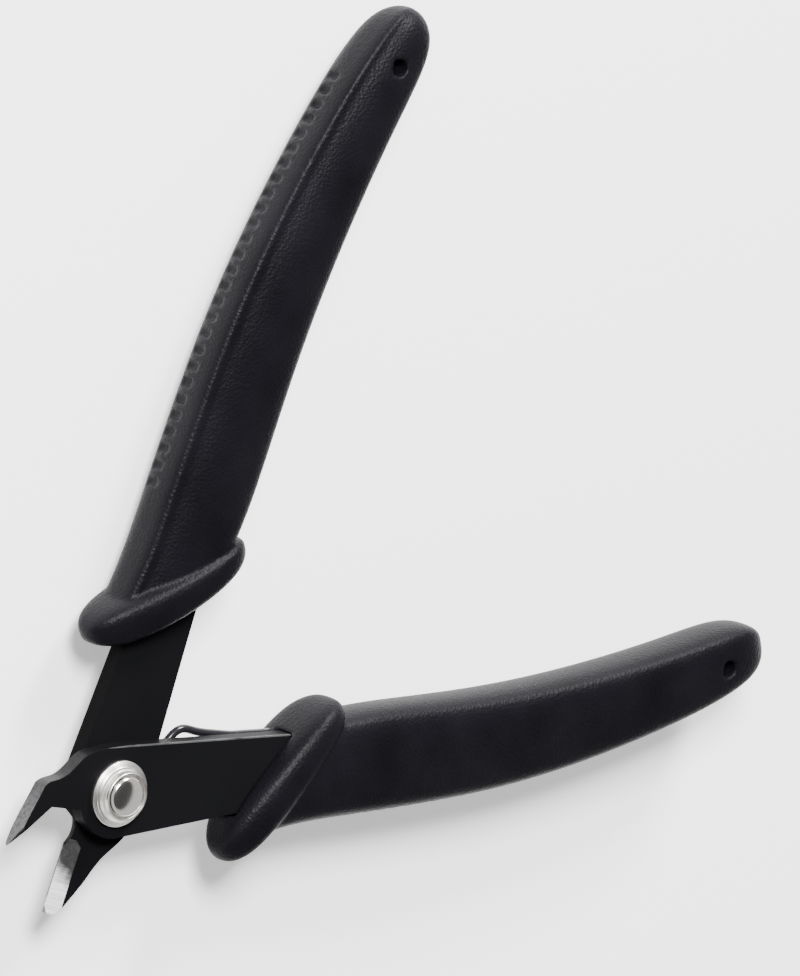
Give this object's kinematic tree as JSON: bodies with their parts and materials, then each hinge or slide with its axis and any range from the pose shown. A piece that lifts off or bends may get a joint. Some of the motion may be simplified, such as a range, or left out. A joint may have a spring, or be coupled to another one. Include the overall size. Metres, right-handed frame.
{
  "type": "sprue nippers",
  "caption": "Flush-cutting sprue nippers with two black stamped blades, a bright domed pivot, a bent wire return spring and moulded grips with flared guards.",
  "frame": {"origin": "on the pivot axis, at the flat back face of the pivot rivet", "axes": "+Z along the pivot axis towards the domed front of the pivot, -X towards the jaws midway between the open blades, +Y towards the grip of the rear blade"},
  "size_m": [0.118, 0.1246, 0.0141],
  "materials": {
    "blade_steel": "black oxide, satin, with ground bare steel at the jaws",
    "pivot_steel": "turned and bright",
    "spring_wire": "black music wire",
    "grip_rubber": "satin with a fine moulded grain"
  },
  "bodies": {
    "front_half": {"front_blade": "blade_steel", "front_grip": "grip_rubber", "pivot_rivet": "pivot_steel", "pivot_collar": "pivot_steel", "return_spring": "spring_wire"},
    "rear_half": {"rear_blade": "blade_steel", "rear_grip": "grip_rubber"}
  },
  "joints": [
    {"name": "pivot", "type": "hinge", "parent": "front_half", "child": "rear_half", "pos_m": [0, 0, 0], "axis": [0, 0, 1], "range_deg": [-38, 0], "stiffness_Nm_per_rad": 0.6, "deforming": ["return_spring"]}
  ]
}
